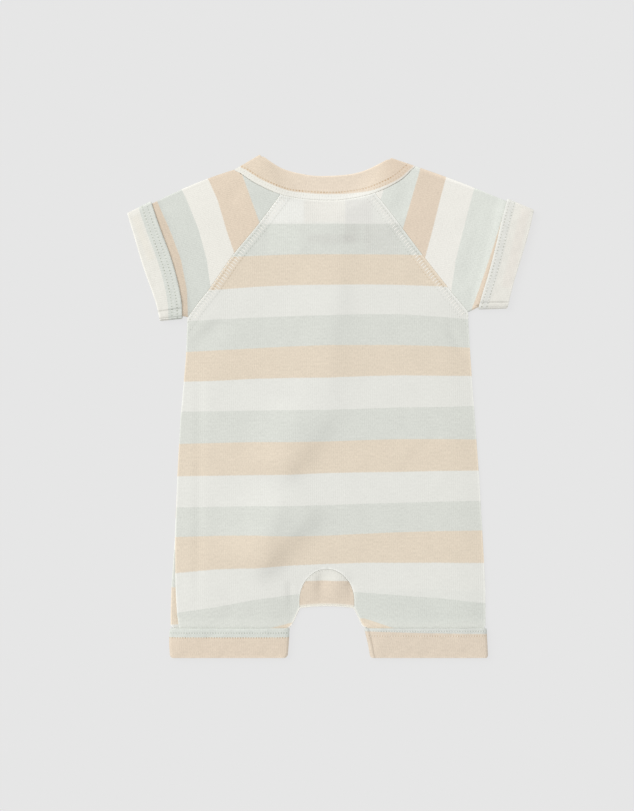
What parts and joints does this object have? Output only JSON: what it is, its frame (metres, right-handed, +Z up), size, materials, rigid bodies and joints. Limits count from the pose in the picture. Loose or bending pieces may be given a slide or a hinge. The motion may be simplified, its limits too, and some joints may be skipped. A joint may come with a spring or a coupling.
{
  "type": "baby romper",
  "caption": "Short-sleeved baby romper in striped cotton jersey with raglan sleeves and turned-up cuffs, laid flat with its back up.",
  "frame": {"origin": "on the surface that the garment rests on, below the middle of its bounding box", "axes": "+Y from the leg cuffs to the neck, +X to the right of the garment's back as it lies, +Z up out of the surface"},
  "size_m": [0.3336, 0.413, 0.0085],
  "materials": {
    "striped_jersey": "matt cotton jersey",
    "gusset_jersey": "matt cotton jersey",
    "sleeve_cuff_jersey": "matt cotton jersey",
    "leg_cuff_jersey": "matt cotton jersey",
    "neckband_jersey": "matt cotton jersey",
    "press_stud": "satin resin cap"
  },
  "bodies": {
    "root": {"back_body": "striped_jersey", "front_body_left": "striped_jersey", "front_body_right": "striped_jersey", "gusset": "gusset_jersey", "sleeve_left": "striped_jersey", "sleeve_right": "striped_jersey", "sleeve_cuff_left": "sleeve_cuff_jersey", "sleeve_cuff_right": "sleeve_cuff_jersey", "leg_cuff_left": "leg_cuff_jersey", "leg_cuff_right": "leg_cuff_jersey", "neckband": "neckband_jersey", "press_stud_1": "press_stud", "press_stud_2": "press_stud", "press_stud_3": "press_stud", "press_stud_4": "press_stud", "press_stud_5": "press_stud", "press_stud_6": "press_stud", "press_stud_7": "press_stud"}
  },
  "joints": []
}
